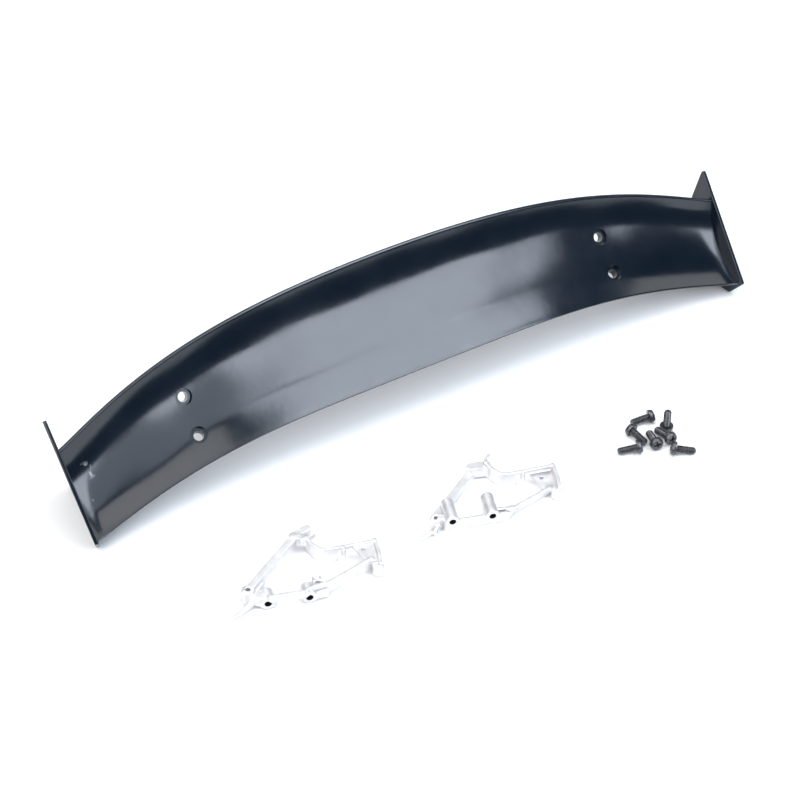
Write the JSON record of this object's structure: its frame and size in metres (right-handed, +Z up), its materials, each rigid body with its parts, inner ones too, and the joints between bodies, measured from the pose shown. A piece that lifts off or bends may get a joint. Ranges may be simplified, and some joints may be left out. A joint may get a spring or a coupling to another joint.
{
  "type": "model car rear wing kit",
  "caption": "Unassembled rear wing kit of a model car: arched black wing blade with end plates, silver truss stays and small black screws, laid out on a table.",
  "frame": {"origin": "centre of the kit's footprint, on the table", "axes": "+X along the wing's span, +Y from the loose stays and screws towards the wing, +Z up from the table"},
  "size_m": [0.1948, 0.0731, 0.0366],
  "materials": {
    "black_gloss_plastic": "glossy black injection-moulded plastic, lightly lumpy",
    "satin_silver_plastic": "satin silver",
    "black_steel": "black oxide"
  },
  "bodies": {
    "wing": {"wing_blade": "black_gloss_plastic", "end_plate_left": "black_gloss_plastic", "end_plate_right": "black_gloss_plastic"},
    "stay_left": {"stay_left": "satin_silver_plastic"},
    "stay_right": {"stay_right": "satin_silver_plastic"},
    "screw_1": {"screw_1": "black_steel"},
    "screw_2": {"screw_2": "black_steel"},
    "screw_3": {"screw_3": "black_steel"},
    "screw_4": {"screw_4": "black_steel"},
    "screw_5": {"screw_5": "black_steel"},
    "screw_6": {"screw_6": "black_steel"},
    "screw_7": {"screw_7": "black_steel"}
  },
  "joints": [
    {"name": "stay_left_lift", "type": "slide", "parent": "wing", "child": "stay_left", "axis": [0, 0, 1], "range_m": [0, 0.03]},
    {"name": "stay_right_lift", "type": "slide", "parent": "wing", "child": "stay_right", "axis": [0, 0, 1], "range_m": [0, 0.03]},
    {"name": "screw_1_lift", "type": "slide", "parent": "wing", "child": "screw_1", "axis": [0, 0, 1], "range_m": [0, 0.03]},
    {"name": "screw_2_lift", "type": "slide", "parent": "wing", "child": "screw_2", "axis": [0, 0, 1], "range_m": [0, 0.03]},
    {"name": "screw_3_lift", "type": "slide", "parent": "wing", "child": "screw_3", "axis": [0, 0, 1], "range_m": [0, 0.03]},
    {"name": "screw_4_lift", "type": "slide", "parent": "wing", "child": "screw_4", "axis": [0, 0, 1], "range_m": [0, 0.03]},
    {"name": "screw_5_lift", "type": "slide", "parent": "wing", "child": "screw_5", "axis": [0, 0, 1], "range_m": [0, 0.03]},
    {"name": "screw_6_lift", "type": "slide", "parent": "wing", "child": "screw_6", "axis": [0, 0, 1], "range_m": [0, 0.03]},
    {"name": "screw_7_lift", "type": "slide", "parent": "wing", "child": "screw_7", "axis": [0, 0, 1], "range_m": [0, 0.03]}
  ]
}
